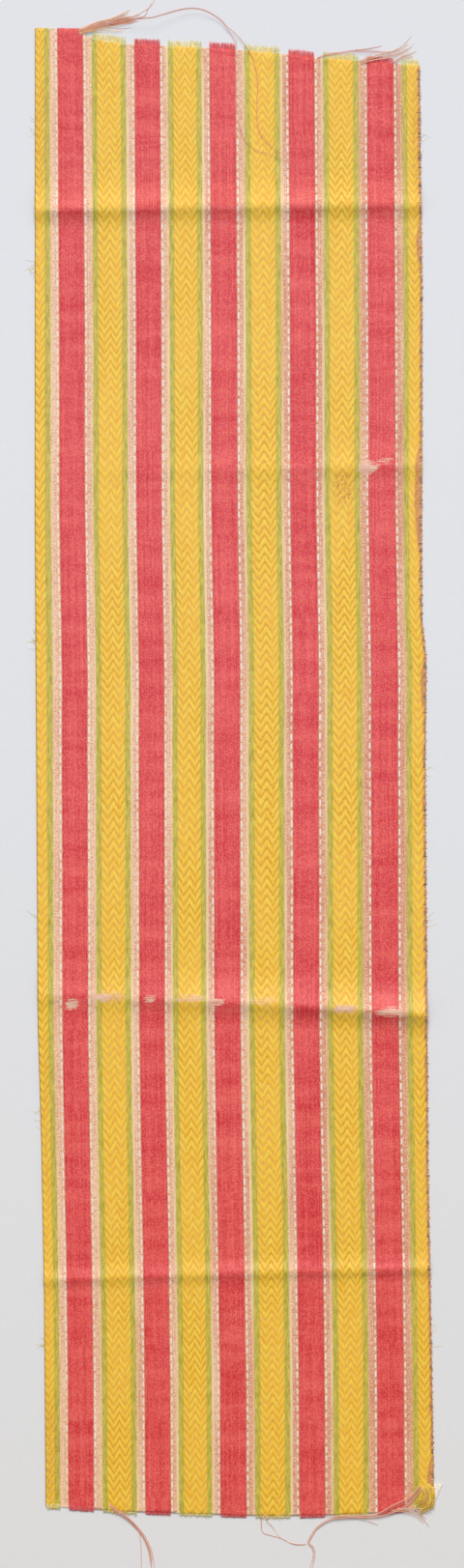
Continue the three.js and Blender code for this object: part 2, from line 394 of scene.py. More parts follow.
def row_phases():
    """Weave repeats at which rows lie, from past the bottom end to past the top one."""
    low, high = np.interp([LOWEST_ROW, HIGHEST_ROW], FINE_Y, FINE_PHASE)
    repeats = np.arange(math.floor(low), math.ceil(high))
    return (repeats[:, None] + np.array(ROW_STEPS)).ravel()


def rows_of_back(phases):
    """Which rows of the front the back has too: few on the flat, more of them along the folds."""
    ys = np.interp(phases, FINE_PHASE, FINE_Y)
    folded = np.zeros(len(phases), dtype=bool)
    for left, middle, right, _, _, above, below in FOLDS:
        low = min(left, middle, right) - below - CHEVRON_RISE
        high = max(left, middle, right) + above
        folded |= (ys > low) & (ys < high)
    rows = np.arange(len(phases))
    kept = rows % np.where(folded, BACK_EVERY_FOLD, BACK_EVERY) == 0
    kept[-1] = True
    return rows[kept]


def closed_faces(front, back, back_rows):
    """Faces of the front, the back and the four walls between them, from the points' numbers."""
    columns = np.arange(front.shape[1])
    faces = grid_faces(front, False) + grid_faces(back, True)
    faces += wall_faces(front[:, 0], back[:, 0], back_rows)
    faces += wall_faces(front[::-1, -1], back[::-1, -1], back_rows[-1] - back_rows[::-1])
    faces += wall_faces(front[-1], back[-1], columns)
    faces += wall_faces(front[0][::-1], back[0][::-1], columns)
    return faces


def cloth_piece(material):
    """The sheet, with its weave's coordinates and its wear stored on its points."""
    places = column_places()
    phases = row_phases()
    front = Weave(places, phases)
    back_rows = rows_of_back(phases)
    back = Weave(places, phases[back_rows])
    faces = closed_faces(front.numbers(0), back.numbers(front.y.size), back_rows)
    points = np.concatenate([front.front().reshape(-1, 3), back.back().reshape(-1, 3)])
    weave = np.concatenate([
        np.stack([front.places, front.phases], axis=-1).reshape(-1, 2),
        np.stack([back.places, back.phases], axis=-1).reshape(-1, 2),
    ])
    used = np.unique(np.concatenate([np.asarray(face) for face in faces]))
    renumber = np.full(len(points), -1)
    renumber[used] = np.arange(len(used))
    piece = mesh_object("striped_cloth", points[used], [renumber[face] for face in faces], material)
    corner_layer(piece.data, "weave", weave[used])
    x, y, _ = points[used].T
    worn = patch_share(WORN, x, y)
    broken = patch_share(BROKEN, x, y)
    selvage = value_at(SELVAGE_WEAR, y)
    point_layer(piece.data, "state", np.stack([worn, broken, selvage, np.ones(len(x))], axis=-1))
    return piece


# Materials

class Shader:
    """Adds nodes to a new material and joins them."""

    def __init__(self, name):
        self.material = bpy.data.materials.new(name)
        self.material.use_nodes = True
        self.tree = self.material.node_tree
        self.surface = self.tree.nodes["Principled BSDF"]

    def put(self, socket, value):
        if isinstance(value, bpy.types.NodeSocket):
            self.tree.links.new(value, socket)
        else:
            socket.default_value = value

    def math(self, operation, *values):
        node = self.tree.nodes.new("ShaderNodeMath")
        node.operation = operation
        for socket, value in zip(node.inputs, values):
            self.put(socket, value)
        return node.outputs[0]

    def rise(self, value, low, high):
        """0 below low and 1 above high, with a soft step between them."""
        node = self.tree.nodes.new("ShaderNodeMapRange")
        node.interpolation_type = "SMOOTHSTEP"
        self.put(node.inputs["Value"], value)
        self.put(node.inputs["From Min"], low)
        self.put(node.inputs["From Max"], high)
        return node.outputs["Result"]

    def fall(self, value, low, high):
        return self.math("SUBTRACT", 1, self.rise(value, low, high))

    def near(self, value, middle, half, soft):
        """1 within half of middle, fading out over soft."""
        away = self.math("ABSOLUTE", self.math("SUBTRACT", value, middle))
        return self.fall(self.math("SUBTRACT", away, half), 0, soft)

    def times(self, *values):
        result = values[0]
        for value in values[1:]:
            result = self.math("MULTIPLY", result, value)
        return result

    def total(self, *values):
        result = values[0]
        for value in values[1:]:
            result = self.math("ADD", result, value)
        return result

    def held(self, value):
        """value kept between 0 and 1."""
        return self.math("MINIMUM", self.math("MAXIMUM", value, 0), 1)

    def mix(self, share, first, second, blend="MIX"):
        node = self.tree.nodes.new("ShaderNodeMix")
        node.data_type = "RGBA"
        node.blend_type = blend
        self.put(node.inputs[0], share)
        self.put(node.inputs[6], first)
        self.put(node.inputs[7], second)
        return node.outputs[2]

    def noise(self, x, y, across, along, detail=1.0, seed=0.0):
        """Noise from 0 to 1 with so many grains to the unit across and along."""
        place = self.tree.nodes.new("ShaderNodeCombineXYZ")
        self.put(place.inputs[0], self.math("MULTIPLY", x, across))
        self.put(place.inputs[1], self.math("MULTIPLY", y, along))
        self.put(place.inputs[2], seed)
        node = self.tree.nodes.new("ShaderNodeTexNoise")
        self.put(node.inputs["Vector"], place.outputs[0])
        node.inputs["Scale"].default_value = 1.0
        node.inputs["Detail"].default_value = detail
        return node.outputs["Fac"]

    def grain(self, scale, detail=2.0):
        """Noise from 0 to 1 over a piece's own coordinates."""
        place = self.tree.nodes.new("ShaderNodeTexCoord")
        node = self.tree.nodes.new("ShaderNodeTexNoise")
        node.inputs["Scale"].default_value = scale
        node.inputs["Detail"].default_value = detail
        self.tree.links.new(place.outputs["Object"], node.inputs["Vector"])
        return node.outputs["Fac"]

    def chance(self, x, y, seed):
        """A random number from 0 to 1 for each pair of whole numbers."""
        place = self.tree.nodes.new("ShaderNodeCombineXYZ")
        self.put(place.inputs[0], x)
        self.put(place.inputs[1], y)
        self.put(place.inputs[2], seed)
        node = self.tree.nodes.new("ShaderNodeTexWhiteNoise")
        self.put(node.inputs["Vector"], place.outputs[0])
        return node.outputs["Value"]

    def yarns(self, place, phase, width, floats, slope=0.0, loose=0.3, seed=0.0):
        """Yarns side by side, each a row of floats: a float's own random tone, the share of the float
        that a point has passed, and how near the point is to the gap between two yarns."""
        yarn = self.math("FLOOR", self.math("DIVIDE", place, width))
        start = self.math("MULTIPLY", self.chance(yarn, 0, seed), loose)
        run = self.total(self.math("MULTIPLY", phase, floats), self.math("MULTIPLY", yarn, slope), start)
        tone = self.chance(yarn, self.math("FLOOR", run), seed + 0.5)
        across = self.math("FRACT", self.math("DIVIDE", place, width))
        side = self.rise(self.math("ABSOLUTE", self.math("SUBTRACT", across, 0.5)), 0.2, 0.5)
        return tone, self.math("FRACT", run), side

    def swing(self, value, gain):
        """How far a value from 0 to 1 lies from its middle, times gain."""
        return self.math("MULTIPLY", self.math("SUBTRACT", value, 0.5), gain)

    def layer(self, name):
        node = self.tree.nodes.new("ShaderNodeUVMap")
        node.uv_map = name
        split = self.tree.nodes.new("ShaderNodeSeparateXYZ")
        self.tree.links.new(node.outputs[0], split.inputs[0])
        return split.outputs[0], split.outputs[1]

    def state(self, name):
        node = self.tree.nodes.new("ShaderNodeAttribute")
        node.attribute_name = name
        split = self.tree.nodes.new("ShaderNodeSeparateColor")
        self.tree.links.new(node.outputs["Color"], split.inputs[0])
        return node.outputs["Color"], split.outputs

    def flat_place(self):
        """x and y of a point in millimetres."""
        node = self.tree.nodes.new("ShaderNodeTexCoord")
        split = self.tree.nodes.new("ShaderNodeSeparateXYZ")
        self.tree.links.new(node.outputs["Object"], split.inputs[0])
        return [self.math("DIVIDE", output, MM) for output in split.outputs[:2]]

    def bump(self, height, strength, distance):
        node = self.tree.nodes.new("ShaderNodeBump")
        node.inputs["Strength"].default_value = strength
        node.inputs["Distance"].default_value = distance
        self.put(node.inputs["Height"], height)
        self.put(self.surface.inputs["Normal"], node.outputs[0])


def red_warp(s, place, phase, fine):
    """A fine twill on crimson, with a painted highlight on the middle of each short float, painted shade at
    the gaps between yarns, pale yarns along it and dull bars across it.
    """
    width = 0.5
    tone, share, side = s.yarns(place, phase, width, 3, slope=0.5, seed=31)
    float_highlight = s.math("MULTIPLY", s.near(share, 0.45, 0.12, 0.25), s.rise(tone, 0.2, 0.9))
    yarn = s.math("FLOOR", s.math("DIVIDE", place, width))
    yarn_tone = s.chance(yarn, s.math("FLOOR", s.math("DIVIDE", phase, 9)), 32)
    bars = s.noise(place, phase, 0.02, 0.55, detail=4, seed=7)
    shade = s.total(
        0.33,
        s.swing(fine, 0.9),
        s.swing(bars, 1.1),
        s.swing(yarn_tone, 0.32),
        # painted highlight on the middle of each float
        s.math("MULTIPLY", float_highlight, 0.6),
        # painted shade where two yarns meet
        s.math("MULTIPLY", side, -0.15),
    )
    return s.mix(s.held(shade), RED_DARK, RED_PALE), shade


def peach_warp(s, place, phase, stripe, fine):
    """Bare weft between thin warp ends, paler at the left, with a cream end beside the green."""
    picks = s.noise(place, phase, 0.5, 8, detail=3, seed=9)
    lines = s.noise(place, phase, 2.2, 0.12, detail=2, seed=21)
    faded = s.noise(place, phase, 0.04, 0.06, detail=3, seed=13)
    tone, _, _ = s.yarns(place, phase, 0.6, 9, seed=33)
    shade = s.total(
        0.7,
        s.math("MULTIPLY", s.rise(place, FIRST_PLACE, LAST_PLACE), -0.4),
        s.swing(faded, 1),
        s.swing(picks, 1.7),
        s.swing(lines, 1.2),
        s.swing(tone, 0.6),
        s.swing(fine, 0.8),
    )
    peach = s.mix(s.held(shade), PEACH_DARK, PEACH_PALE)
    inner = s.math("MULTIPLY", s.rise(place, 18, 34), s.fall(place, 126, 142))
    patch = s.rise(s.noise(place, phase, 0.05, 0.05, detail=2, seed=11), 0.35, 0.6)
    share = s.math("ADD", 0.15, s.times(inner, patch, 0.6))
    beside_green = s.near(stripe, PEACH_END - 0.65, 0.35, 0.6)
    return s.mix(s.math("MULTIPLY", share, beside_green), peach, CREAM), picks


def white_floats(s, place, phase, even_stripe, below):
    """White floats in short dashes beside each red stripe, dull between them."""
    tone, share, _ = s.yarns(place, phase, REPEAT / 2, 1, seed=35)
    beside = s.near(even_stripe, DASH, DASH_HALF * 0.6, 0.35)
    half = s.math("ADD", 0.12, s.math("MULTIPLY", tone, 0.16))
    dash = s.math("MULTIPLY", beside, s.near(share, 0.45, half, 0.14))
    strength = s.math("ADD", 0.6, s.math("MULTIPLY", tone, 0.4))
    gap = s.math("MULTIPLY", beside, s.near(share, 0.97, 0.03, 0.1))
    shadow = s.math("MULTIPLY", s.near(even_stripe, DASH + 0.85, 0.1, 0.3), 0.15)
    colour = s.mix(s.math("MAXIMUM", shadow, s.math("MULTIPLY", gap, 0.4)), below, PEACH_DARK)
    return s.mix(s.math("MULTIPLY", dash, strength), colour, WHITE)


def yellow_warp(s, place, phase, fine, blotch):
    """Floats in chevrons, with a painted highlight on each float and painted shade at the yarns' sides; the
    thin line between floats shows bare weft in places and painted shadow elsewhere, with painted shadow
    specks beside it.
    """
    tone, share, side = s.yarns(place, phase, 0.5, 1, loose=0.2, seed=37)
    mark, mark_share, _ = s.yarns(place, phase, 0.5, 4, loose=1, seed=43)
    shade = s.total(
        0.42,
        s.swing(tone, 0.6),
        s.swing(blotch, 0.9),
        s.swing(fine, 1.4),
        # painted shade at the sides of each yarn
        s.math("MULTIPLY", side, -0.25),
        # painted highlight on each float
        s.math("MULTIPLY", s.near(share, 0.62, 0.1, 0.3), 0.35),
    )
    floats = s.mix(s.held(shade), YELLOW, YELLOW_PALE)
    # the line between floats: bare weft where this noise is high, painted shadow (YELLOW_DARK) elsewhere
    bare = s.rise(s.noise(place, phase, 0.035, 0.06, detail=3, seed=23), 0.38, 0.6)
    line_colour = s.mix(bare, YELLOW_DARK, YELLOW_LINE)
    line = s.times(s.near(share, 0.09, 0.04, 0.12), s.math("ADD", 0.35, s.math("MULTIPLY", fine, 0.8)))
    yellow = s.mix(s.held(line), floats, line_colour)
    weft_mark = s.times(s.near(mark_share, 0.5, 0.15, 0.2), s.rise(mark, 0.6, 0.9), 0.45)
    yellow = s.mix(weft_mark, yellow, YELLOW_LINE)
    # painted shadow specks next to the line between floats
    shadow_speck = s.times(s.near(share, 0, 0.02, 0.06), s.rise(tone, 0.4, 0.8), 0.75)
    return s.mix(shadow_speck, yellow, YELLOW_DARK)


def worn_places(s, worn, broken, fine, picks, colour):
    """Threads of bare weft in the worn places, and dark ends where floats are broken."""
    x, y = s.flat_place()
    threads = s.noise(x, y, 0.12, 2, detail=2, seed=27)
    weft = s.mix(s.held(s.total(0.45, s.swing(threads, 3.5))), WEFT, WEFT_PALE)
    ragged = s.total(worn, s.swing(fine, 1), s.swing(threads, 1.6))
    bare = s.math("MULTIPLY", s.rise(ragged, 0.3, 0.75), s.rise(worn, 0.02, 0.2))
    colour = s.mix(bare, colour, weft)
    ends = s.times(broken, s.rise(s.math("ADD", fine, s.swing(picks, 0.6)), 0.5, 0.62), 0.75)
    return s.mix(ends, colour, BROKEN_YARN)


def selvages(s, place, phase, width, colour):
    """The right selvage worn to brown turns of weft, and a thin dark line along the left one."""
    ragged = s.swing(s.noise(place, phase, 0.3, 0.6, detail=3, seed=19), 3)
    frayed = s.rise(s.total(place, width, ragged), LAST_PLACE - 0.3, LAST_PLACE + 0.6)
    turns = s.noise(place, phase, 0.25, 1.1, detail=3, seed=25)
    grain = s.noise(place, phase, 1.6, 6, detail=3, seed=45)
    brown = s.mix(s.rise(grain, 0.38, 0.5), YELLOW_DARK, WORN_SELVAGE)
    brown = s.mix(s.rise(grain, 0.52, 0.64), brown, NOTCH)
    dark = s.times(s.rise(turns, 0.5, 0.62), s.rise(place, LAST_PLACE - 2.4, LAST_PLACE - 0.6))
    colour = s.mix(s.math("MULTIPLY", frayed, 0.85), colour, s.mix(dark, brown, NOTCH))
    dark_edge = s.fall(place, FIRST_PLACE + 0.1, FIRST_PLACE + 0.5)
    return s.mix(s.math("MULTIPLY", dark_edge, 0.7), colour, SELVAGE)


def weave_material():
    s = Shader("striped_weave")
    place, phase = s.layer("weave")
    _, (worn, broken, selvage) = s.state("state")
    uneven = s.noise(place, phase, 0.9, 1.3, detail=2, seed=3)
    even_stripe = s.math("PINGPONG", place, REPEAT / 2)
    stripe = s.math("ADD", even_stripe, s.swing(uneven, 0.9))
    fine = s.noise(place, phase, 1.2, 5, detail=3, seed=1)
    blotch = s.noise(place, phase, 0.3, 1, detail=3, seed=2)

    red, red_shade = red_warp(s, place, phase, fine)
    peach, picks = peach_warp(s, place, phase, stripe, fine)
    peach = white_floats(s, place, phase, even_stripe, peach)
    green_tone, _, _ = s.yarns(place, phase, 0.45, 2, loose=1, seed=39)
    streaks = s.noise(place, phase, 1.2, 0.7, detail=3, seed=15)
    green_shade = s.held(s.total(0.5, s.swing(streaks, 1.6), s.swing(green_tone, 0.5)))
    green = s.mix(green_shade, GREEN_DARK, GREEN_PALE)
    yellow = yellow_warp(s, place, phase, fine, blotch)

    colour = s.mix(s.rise(stripe, RED_HALF - 0.2, RED_HALF + 0.2), red, peach)
    colour = s.mix(s.rise(stripe, PEACH_END - 0.4, PEACH_END + 0.3), colour, green)
    colour = s.mix(s.rise(stripe, GREEN_END - 0.5, GREEN_END + 0.5), colour, yellow)
    # painted shadow in a thin line just outside each red stripe's edge
    edge_shadow = s.math("MULTIPLY", s.near(even_stripe, RED_HALF + 0.1, 0.1, 0.3), 0.45)
    colour = s.mix(edge_shadow, colour, RED_EDGE_SHADOW)
    colour = worn_places(s, worn, broken, fine, picks, colour)
    colour = selvages(s, place, phase, selvage, colour)
    s.put(s.surface.inputs["Base Color"], colour)

    height = s.math("ADD", s.math("MULTIPLY", fine, 0.6), s.math("MULTIPLY", red_shade, 0.2))
    height = s.math("ADD", height, s.math("MULTIPLY", picks, 0.25))
    s.bump(height, strength=0.4, distance=0.0003)
    s.put(s.surface.inputs["Roughness"], s.math("ADD", 0.4, s.math("MULTIPLY", fine, 0.2)))
    s.surface.inputs["Sheen Weight"].default_value = 0.05
    s.surface.inputs["Sheen Roughness"].default_value = 0.4
    s.surface.inputs["Specular IOR Level"].default_value = 0.5
    return s.material


THREAD_GRAIN = 900
THREAD_SHADE = (0.88, 0.84, 0.8, 1)


def thread_material(name, roughness):
    """Loose silk: each strand has its own colour, uneven along its length."""
    s = Shader(name)
    tint, _ = s.state("tint")
    uneven = s.rise(s.grain(THREAD_GRAIN, detail=3), 0.3, 0.7)
    darker = s.mix(1.0, tint, THREAD_SHADE, blend="MULTIPLY")
    s.put(s.surface.inputs["Base Color"], s.mix(uneven, darker, tint))
    s.put(s.surface.inputs["Roughness"], s.math("ADD", roughness, s.math("MULTIPLY", uneven, 0.15)))
    s.bump(uneven, strength=0.3, distance=0.0001)
    s.surface.inputs["Sheen Weight"].default_value = 0.2
    return s.material


# Strands

class Strands:
    """Many tapered strands in one mesh."""

    def __init__(self):
        self.points = []
        self.faces = []
        self.tints = []
        self.count = 0

    def add(self, line, radii, tint, sides=5):
        line = np.asarray(line, dtype=float)
        radii = np.broadcast_to(radii, len(line))
        heading = np.gradient(line, axis=0)
        heading /= np.linalg.norm(heading, axis=1)[:, None] + 1e-9
        side = np.cross(heading, [0, 0, 1])
        side /= np.linalg.norm(side, axis=1)[:, None] + 1e-9
        up = np.cross(side, heading)
        turns = np.arange(sides) * 2 * math.pi / sides
        ring = np.cos(turns)[None, :, None] * side[:, None] + np.sin(turns)[None, :, None] * up[:, None]
        points = line[:, None] + radii[:, None, None] * ring
        first = self.count
        for i in range(len(line) - 1):
            low = first + i * sides
            for j in range(sides):
                following = (j + 1) % sides
                self.faces.append([low + j, low + sides + j, low + sides + following, low + following])
        self.faces.append([first + j for j in range(sides)])
        last = first + (len(line) - 1) * sides
        self.faces.append([last + j for j in range(sides)][::-1])
        self.points.append(points.reshape(-1, 3))
        self.tints.append(np.tile(tint, (len(line) * sides, 1)))
        self.count += len(line) * sides

    def piece(self, name, material):
        made = mesh_object(name, np.concatenate(self.points), self.faces, material)
        point_layer(made.data, "tint", np.concatenate(self.tints))
        return made


def smooth_line(route, step):
    """Points along a smooth curve through a route's points."""
    route = np.asarray(route, dtype=float)
    padded = np.concatenate([[2 * route[0] - route[1]], route, [2 * route[-1] - route[-2]]])
    line = []
    for before, start, end, after in zip(padded[:-3], padded[1:-2], padded[2:-1], padded[3:]):
        count = max(2, int(np.linalg.norm(end - start) / step))
        for t in np.arange(count) / count:
            line.append(
                0.5 * (
                    2 * start
                    + (end - before) * t
                    + (2 * before - 5 * start + 4 * end - after) * t**2
                    + (3 * start - before - 3 * end + after) * t**3
                )
            )
    return np.array([*line, route[-1]])


def outside(xs, ys):
    """How far points lie past the outline of the weave, negative inside it."""
    return np.max(
        [
            ys - value_at(TOP_EDGE, xs),
            value_at(BOTTOM_EDGE, xs) - ys,
            xs - value_at(RIGHT_EDGE, ys),
            value_at(LEFT_EDGE, ys) - xs,
        ],
        axis=0,
    )


THREAD_CLEARANCE = 0.35  # room for the raised weave under a thread
THREAD_DESCENT = 8  # how far past the cloth a thread comes down to the table


def resting(xs, ys):
    """Height of what a loose thread lies on: the cloth, then down to the table."""
    on_cloth = np.clip(1 - outside(xs, ys) / THREAD_DESCENT, 0, 1)
    return on_cloth * (TOP_SIDE + THREAD_CLEARANCE + fold_height(xs, ys))


# Loose threads: how many run together, how far apart they are at the root and at the tip, their
# colours, and the route of the bundle's middle as [x, y], or [x, y, lift] where it stands off.
TOP_THREADS = [
    [13, 0.22, 0.34, [RUST, TAN, SALMON_PALE, TAN, ROSE],
     [[-77, 383.6], [-67.4, 387], [-61.2, 388.4], [-54.2, 389.6], [-48.3, 390.1], [-44.7, 390.4]]],
    [8, 0.24, 0.5, [TAN, SALMON_PALE, SALMON],
     [[-76.5, 384.2], [-67.7, 387.8], [-59.7, 389.7], [-52.6, 392.5], [-49.4, 393.6]]],
    [1, 0, 0, [SALMON_PALE],
     [[-62.7, 388.5], [-53.7, 390.7], [-46.3, 393], [-41.9, 395.5], [-39.9, 396.8], [-37.7, 400.3],
      [-36.5, 404.5]]],
    [1, 0, 0, [SALMON], [[-53.7, 389.9], [-43.5, 391.7], [-41.6, 394.6], [-39.1, 398.8]]],
    [2, 0.5, 1.2, [SALMON_PALE, TAN],
     [[-75, 383], [-69.7, 384.3], [-62.3, 385.2], [-55.9, 385.1], [-49.7, 386]]],
    [1, 0, 0, [SALMON],
     [[-61.2, 387.8, 1], [-45.2, 390, 4.3], [-38.6, 390.6, 4.5], [-33.9, 391.9, 4.2], [-22.6, 395.1, 3.2],
      [-13.6, 395, 2.5], [-5.1, 390.8, 2], [0.3, 385.5, 1.5], [6.3, 380, 0.8], [12.2, 370.9, 0.3],
      [15.1, 359.9, 0], [15, 346.4, 0], [15, 335.9, 0], [17.9, 327.9, 0.3], [22.9, 323.4, 0.5],
      [30.3, 318.3, 0.2]]],
    [1, 0, 0, [SALMON],
     [[-61.2, 387.6, 1], [-45.2, 389.8, 4.1], [-38.7, 390.4, 4.3], [-33.9, 391.7, 4], [-22.6, 394.8, 3],
      [-13.6, 394.7, 2.3], [-5.3, 390.5, 1.8], [-0.5, 385.4, 1.2], [3.3, 379.5, 0.5], [4.7, 374.5, 0.2],
      [4.7, 342, 0], [5.9, 334, 0], [8.9, 326.5, 0.2], [14.9, 321.9, 0.4], [22.8, 319.4, 0.6],
      [30.3, 315.8, 0.2], [37.3, 311.7, 0]]],
    [2, 0.4, 0.8, [SALMON, ROSE],
     [[45.7, 369.2], [52, 371.5], [58.7, 372.4], [64, 373.1], [68.5, 372.8], [75.2, 372.6], [81.9, 371.9],
      [89.2, 372.6]]],
    [1, 0, 0, [SALMON], [[64, 373.1], [66.2, 373.6], [72, 374.2], [77.4, 375.1], [79.7, 375.8]]],
    [6, 0.3, 0.9, [SALMON, TAN, SALMON_PALE],
     [[68.2, 367], [75.6, 369.3], [81.9, 370.6], [87.7, 372.3], [91.7, 374.1], [94.9, 376.7], [96.9, 378.7]]],
    [3, 0.4, 0.9, [TAN, SALMON], [[85.7, 366.6], [90.7, 369.8], [94.4, 370.7], [98, 372.1]]],
]
BOTTOM_THREADS = [
    [5, 0.25, 0.5, [SALMON, SALMON_PALE, ROSE],
     [[-66.8, -377.5], [-63.3, -381.1], [-58.3, -384.3], [-51.9, -391.1], [-48.4, -396.2],
      [-45.9, -402.7], [-45, -409.2], [-45, -415.7]]],
    [1, 0, 0, [SALMON],
     [[-59.3, -383.6], [-51.9, -391.1], [-50.9, -395.6], [-50.4, -402.2], [-50.5, -415.7]]],
    [3, 0.5, 0.4, [SALMON, ROSE, SALMON_PALE],
     [[95.3, -368.7], [90.3, -374.4], [86.3, -377], [79.1, -380.3], [72.4, -383.8], [64.7, -385],
      [54.5, -385.1], [48.2, -385.4], [42.5, -383.2]]],
    [3, 0.5, 0.5, [SALMON, SALMON_PALE],
     [[95.8, -369.7], [91.3, -375.2], [88.1, -378.7], [83.6, -381.6], [76.9, -384.2], [70.6, -385.5],
      [61.7, -385.6], [52.7, -386], [46.7, -387.1], [41.1, -390.8], [38.4, -394.3], [36.1, -398.8],
      [38.1, -401], [39, -404.6], [37.9, -409.8], [36, -416]]],
    [1, 0, 0, [SALMON],
     [[11.7, -382.6], [11.8, -387.6], [11.9, -390.6], [13.1, -393.6], [21.6, -396.2], [28.6, -399.5],
      [35.1, -399.8]]],
    [1, 0, 0, [SALMON_PALE],
     [[13.7, -382.6], [14.7, -387.1], [17.2, -389.6], [20.4, -394.5], [23.6, -397.2], [29.1, -399.2],
      [35.1, -399.4]]],
    [1, 0, 0, [SALMON_PALE], [[57.7, -385.4], [61.7, -386], [67.9, -387.8], [72.4, -389.6]]],
    [2, 0.4, 1, [SALMON, SALMON_PALE], [[78.7, -382.1], [85.7, -381.6], [92.5, -383.5], [96.9, -387.2]]],
    [2, 0.4, 1, [SALMON, TAN], [[78.7, -382.6], [85.7, -382.6], [92.7, -385.2], [98.2, -391.2]]],
    [2, 0.4, 0.8, [SALMON_PALE], [[81.7, -381.1], [89.2, -381.4], [95.7, -382.2], [100.1, -383.9]]],
    [34, 0.14, 0.26, [STRAW, LIME, STRAW, TAN],
     [[96.8, -368.7], [98.3, -374.2], [96.7, -378.7], [91.7, -380.9]]],
    [22, 0.12, 0.2, [STRAW, TAN, STRAW],
     [[99.6, -369.3], [100.2, -374.8], [99.4, -378.6], [97.2, -380.8]]],
]
CREAM_TUFT = {"root": [101, -378.2], "left": [100.9, -369], "right": [105.4, -368.8], "strands": 48}
TUFT_RADII = (0.26, 0.2)  # at a strand's root and tip
THREAD_RADIUS = 0.17
THREAD_TAPER = [[0, 1], [0.9, 0.85], [1, 0.3]]  # share of the length, share of the radius
THREAD_STRAY = 0.25
SHORTEST_THREAD = 0.82  # by the length of its bundle
ROOT_POINTS = 3  # points over which a thread comes up out of the weave


def thread_bundle(strands, count, root_gap, tip_gap, tints, route):
    """Threads side by side along a route, resting on the cloth and the table."""
    line = smooth_line(route, 1.0)
    lift = line[:, 2] if line.shape[1] > 2 else np.zeros(len(line))
    line = line[:, :2]
    heading = np.gradient(line, axis=0)
    heading /= np.linalg.norm(heading, axis=1)[:, None]
    normal = np.stack([heading[:, 1], -heading[:, 0]], axis=-1)
    share = np.linspace(0, 1, len(line))
    for i in range(count):
        place = i - (count - 1) / 2
        stray = rng.normal(0, THREAD_STRAY if count > 1 else 0, 2)
        wave = stray[0] * np.sin(share * 5 + stray[1] * 9) * np.clip(share * 4, 0, 1)
        side = place * (root_gap + (tip_gap - root_gap) * share) + wave
        stop = len(line) if i == 0 else max(6, int(len(line) * rng.uniform(SHORTEST_THREAD, 1)))
        xy = (line + normal * side[:, None])[:stop]
        radius = THREAD_RADIUS * rng.uniform(0.8, 1.1)
        radii = radius * value_at(THREAD_TAPER, np.linspace(0, 1, stop))
        layer = radius * (1 + 1.7 * (i % 3 if count > 3 else i % 2))
        z = resting(xy[:, 0], xy[:, 1]) + layer + lift[:stop]
        root = np.clip(np.arange(stop) / ROOT_POINTS, 0, 1)
        z = z * root + (TOP_SIDE - radius) * (1 - root)
        strands.add(np.column_stack([xy, z]), radii, tints[i % len(tints)])


def fan(strands, tuft, tint):
    """Strands that spread from one root to a row of tips."""
    for share in np.linspace(0, 1, tuft["strands"]):
        root = np.array(tuft["root"]) + rng.normal(0, 0.15, 2)
        tip = np.array(tuft["left"]) * (1 - share) + np.array(tuft["right"]) * share
        tip = tip + rng.normal(0, 0.35, 2)
        middle = (root + tip) / 2 + rng.normal(0, 0.2, 2)
        line = smooth_line([root, middle, tip], 0.8)
        z = np.linspace(0.5, 0.25, len(line)) + rng.uniform(0, 0.3)
        strands.add(np.column_stack([line, z]), np.linspace(*TUFT_RADII, len(line)), tint)


def loose_threads(name, bundles, material, cream_tuft=None):
    strands = Strands()
    for count, root_gap, tip_gap, tints, route in bundles:
        thread_bundle(strands, count, root_gap, tip_gap, tints, route)
    if cream_tuft:
        fan(strands, cream_tuft, SILK_CREAM)
    return strands.piece(name, material)


# Frayed warp ends: the places between which a band frays, its strands to the millimetre, how long
# they are by the end's own length, how unevenly, and their radius.
WARP_BANDS = [[-6.4, 6.4, 6, 1, 0.1, 0.15], [11.3, 28.7, 6, 0.95, 0.28, 0.15]]
TOP_WARP = {"edge": TOP_EDGE, "outward": 1, "length": 3}
BOTTOM_WARP = {"edge": BOTTOM_EDGE, "outward": -1, "length": 1.6}
UNFRAYED = 7  # the first band and the first red stripe end flush at the top
FLUSH_LENGTH = 0.35
WARP_ROOT = 1.5  # length of an end inside the cloth
WARP_GAP = 0.3  # least gap between a selvage and the next end
WARP_STRAY = 0.06
SHORTEST_WARP = 0.15  # by the end's own length
WARP_TAPER = np.array([1, 1, 0.95, 0.85, 0.4])
RIGHT_PLACES = 100  # ends past this place are laid out from the right corner
WARP_TINTS = {
    "red": [linear(226, 76, 84), linear(240, 96, 100), linear(255, 132, 130)],
    "green": [linear(222, 216, 120), linear(232, 228, 150), linear(242, 240, 190)],
    "yellow": [linear(250, 224, 110), linear(252, 236, 150), linear(255, 246, 204)],
}


def warp_name(place):
    """Which of the tints a warp end at a place takes."""
    distance = float(stripe_place(np.array(place)))
    if distance < RED_HALF:
        return "red"
    return "green" if distance < GREEN_END else "yellow"


def warp_ends(name, end, material):
    strands = Strands()
    for repeat in range(-1, RED_COUNT):
        for start, stop, density, share, uneven, radius in WARP_BANDS:
            count = int((stop - start) * density)
            for place in np.linspace(start, stop, count) + REPEAT * repeat:
                if not FIRST_PLACE + WARP_GAP < place < LAST_PLACE - WARP_GAP:
                    continue
                length = end["length"] * share * max(SHORTEST_WARP, rng.normal(1, uneven))
                if end is TOP_WARP and place < UNFRAYED:
                    length = FLUSH_LENGTH * rng.uniform(0.5, 1.5)
                one_warp_end(strands, end, place + rng.normal(0, WARP_STRAY), length, radius)
    return strands.piece(name, material)


